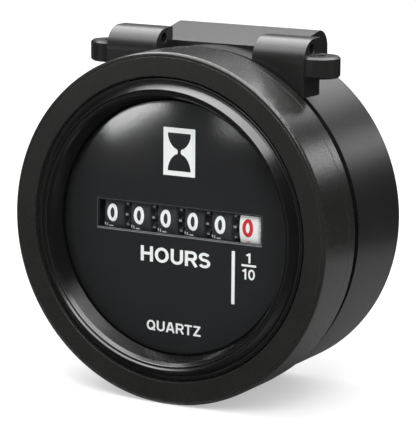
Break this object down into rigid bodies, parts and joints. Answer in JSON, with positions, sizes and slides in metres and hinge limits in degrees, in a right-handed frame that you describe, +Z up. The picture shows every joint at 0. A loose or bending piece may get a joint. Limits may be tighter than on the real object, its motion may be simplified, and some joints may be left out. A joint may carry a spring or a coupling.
{
  "type": "hour meter",
  "caption": "Round black hour meter with a six-wheel counter behind a domed lens and a moulded hinge bracket on top.",
  "frame": {"origin": "Midway between the two ear holes, on the underside of the ears.", "axes": "+Z up along the ear holes, -Y the way the dial faces, +X to the right seen from the front."},
  "size_m": [0.058, 0.0386, 0.0599],
  "materials": {
    "case_black": "satin",
    "collar_black": "satin gloss",
    "lens_clear": "clear",
    "rubber_black": "matt",
    "dial_black": "matt",
    "trim_grey": "satin",
    "wheel_black": "satin",
    "wheel_white": "satin",
    "gear_natural": "satin",
    "shaft_steel": "ground",
    "sheet_metal": "satin",
    "motor_iron": "satin",
    "coil_copper": "enamelled",
    "board_green": "satin",
    "chip_black": "matt",
    "can_metal": "bright",
    "sleeve_blue": "gloss",
    "blade_brass": "bright"
  },
  "bodies": {
    "case": {"front_ring": "case_black", "lens_ring": "collar_black", "lens": "lens_clear", "lens_gasket": "rubber_black", "dial_plate": "dial_black", "window_frame": "trim_grey", "counter_shaft": "shaft_steel", "pinion_shaft": "shaft_steel", "counter_frame": "sheet_metal", "gear_arbor": "shaft_steel", "rotor_arbor": "shaft_steel", "stator": "motor_iron", "coil_bobbin": "gear_natural", "coil_winding": "coil_copper", "circuit_board": "board_green", "timer_chip": "chip_black", "crystal_can": "can_metal", "capacitor": "sleeve_blue", "board_screws": "shaft_steel", "frame_screws": "shaft_steel", "rear_housing": "case_black", "housing_seal": "rubber_black", "terminal_left": "blade_brass", "terminal_right": "blade_brass"},
    "ten_thousands": {"wheel_1": "wheel_black"},
    "thousands": {"wheel_2": "wheel_black"},
    "hundreds": {"wheel_3": "wheel_black"},
    "tens": {"wheel_4": "wheel_black"},
    "units": {"wheel_5": "wheel_black"},
    "tenths": {"wheel_6": "wheel_white"},
    "carry_1": {"pinion_1": "gear_natural"},
    "carry_2": {"pinion_2": "gear_natural"},
    "carry_3": {"pinion_3": "gear_natural"},
    "carry_4": {"pinion_4": "gear_natural"},
    "carry_5": {"pinion_5": "gear_natural"},
    "idler": {"intermediate_gear": "gear_natural"},
    "rotor": {"motor_rotor": "motor_iron"}
  },
  "joints": [
    {"name": "tenths_turn", "type": "hinge", "parent": "case", "child": "tenths", "pos_m": [0.01275, -0.00395, -0.02395], "axis": [-1, 0, 0], "continuous": true},
    {"name": "ten_thousands_turn", "type": "hinge", "parent": "case", "child": "ten_thousands", "pos_m": [-0.01275, -0.00395, -0.02395], "axis": [-1, 0, 0], "continuous": true},
    {"name": "thousands_turn", "type": "hinge", "parent": "case", "child": "thousands", "pos_m": [-0.00765, -0.00395, -0.02395], "axis": [-1, 0, 0], "continuous": true},
    {"name": "hundreds_turn", "type": "hinge", "parent": "case", "child": "hundreds", "pos_m": [-0.00255, -0.00395, -0.02395], "axis": [-1, 0, 0], "continuous": true},
    {"name": "tens_turn", "type": "hinge", "parent": "case", "child": "tens", "pos_m": [0.00255, -0.00395, -0.02395], "axis": [-1, 0, 0], "continuous": true},
    {"name": "units_turn", "type": "hinge", "parent": "case", "child": "units", "pos_m": [0.00765, -0.00395, -0.02395], "axis": [-1, 0, 0], "continuous": true},
    {"name": "carry_1_turn", "type": "hinge", "parent": "case", "child": "carry_1", "pos_m": [-0.0102, -0.00266, -0.03124], "axis": [-1, 0, 0], "continuous": true},
    {"name": "carry_2_turn", "type": "hinge", "parent": "case", "child": "carry_2", "pos_m": [-0.0051, -0.00266, -0.03124], "axis": [-1, 0, 0], "continuous": true},
    {"name": "carry_3_turn", "type": "hinge", "parent": "case", "child": "carry_3", "pos_m": [0, -0.00266, -0.03124], "axis": [-1, 0, 0], "continuous": true},
    {"name": "carry_4_turn", "type": "hinge", "parent": "case", "child": "carry_4", "pos_m": [0.0051, -0.00266, -0.03124], "axis": [-1, 0, 0], "continuous": true},
    {"name": "carry_5_turn", "type": "hinge", "parent": "case", "child": "carry_5", "pos_m": [0.0102, -0.00266, -0.03124], "axis": [-1, 0, 0], "continuous": true},
    {"name": "idler_turn", "type": "hinge", "parent": "case", "child": "idler", "pos_m": [0.0156, 0.0009, -0.01817], "axis": [-1, 0, 0], "continuous": true},
    {"name": "rotor_turn", "type": "hinge", "parent": "case", "child": "rotor", "pos_m": [0.0142, 0.00698, -0.02211], "axis": [-1, 0, 0], "continuous": true}
  ],
  "couplings": [
    {"joint": "ten_thousands_turn", "follows": "tenths_turn", "ratio": 0.00001},
    {"joint": "thousands_turn", "follows": "tenths_turn", "ratio": 0.0001},
    {"joint": "hundreds_turn", "follows": "tenths_turn", "ratio": 0.001},
    {"joint": "tens_turn", "follows": "tenths_turn", "ratio": 0.01},
    {"joint": "units_turn", "follows": "tenths_turn", "ratio": 0.1},
    {"joint": "carry_1_turn", "follows": "tenths_turn", "ratio": -0.000025},
    {"joint": "carry_2_turn", "follows": "tenths_turn", "ratio": -0.00025},
    {"joint": "carry_3_turn", "follows": "tenths_turn", "ratio": -0.0025},
    {"joint": "carry_4_turn", "follows": "tenths_turn", "ratio": -0.025},
    {"joint": "carry_5_turn", "follows": "tenths_turn", "ratio": -0.25},
    {"joint": "idler_turn", "follows": "tenths_turn", "ratio": -4},
    {"joint": "rotor_turn", "follows": "tenths_turn", "ratio": 20}
  ]
}
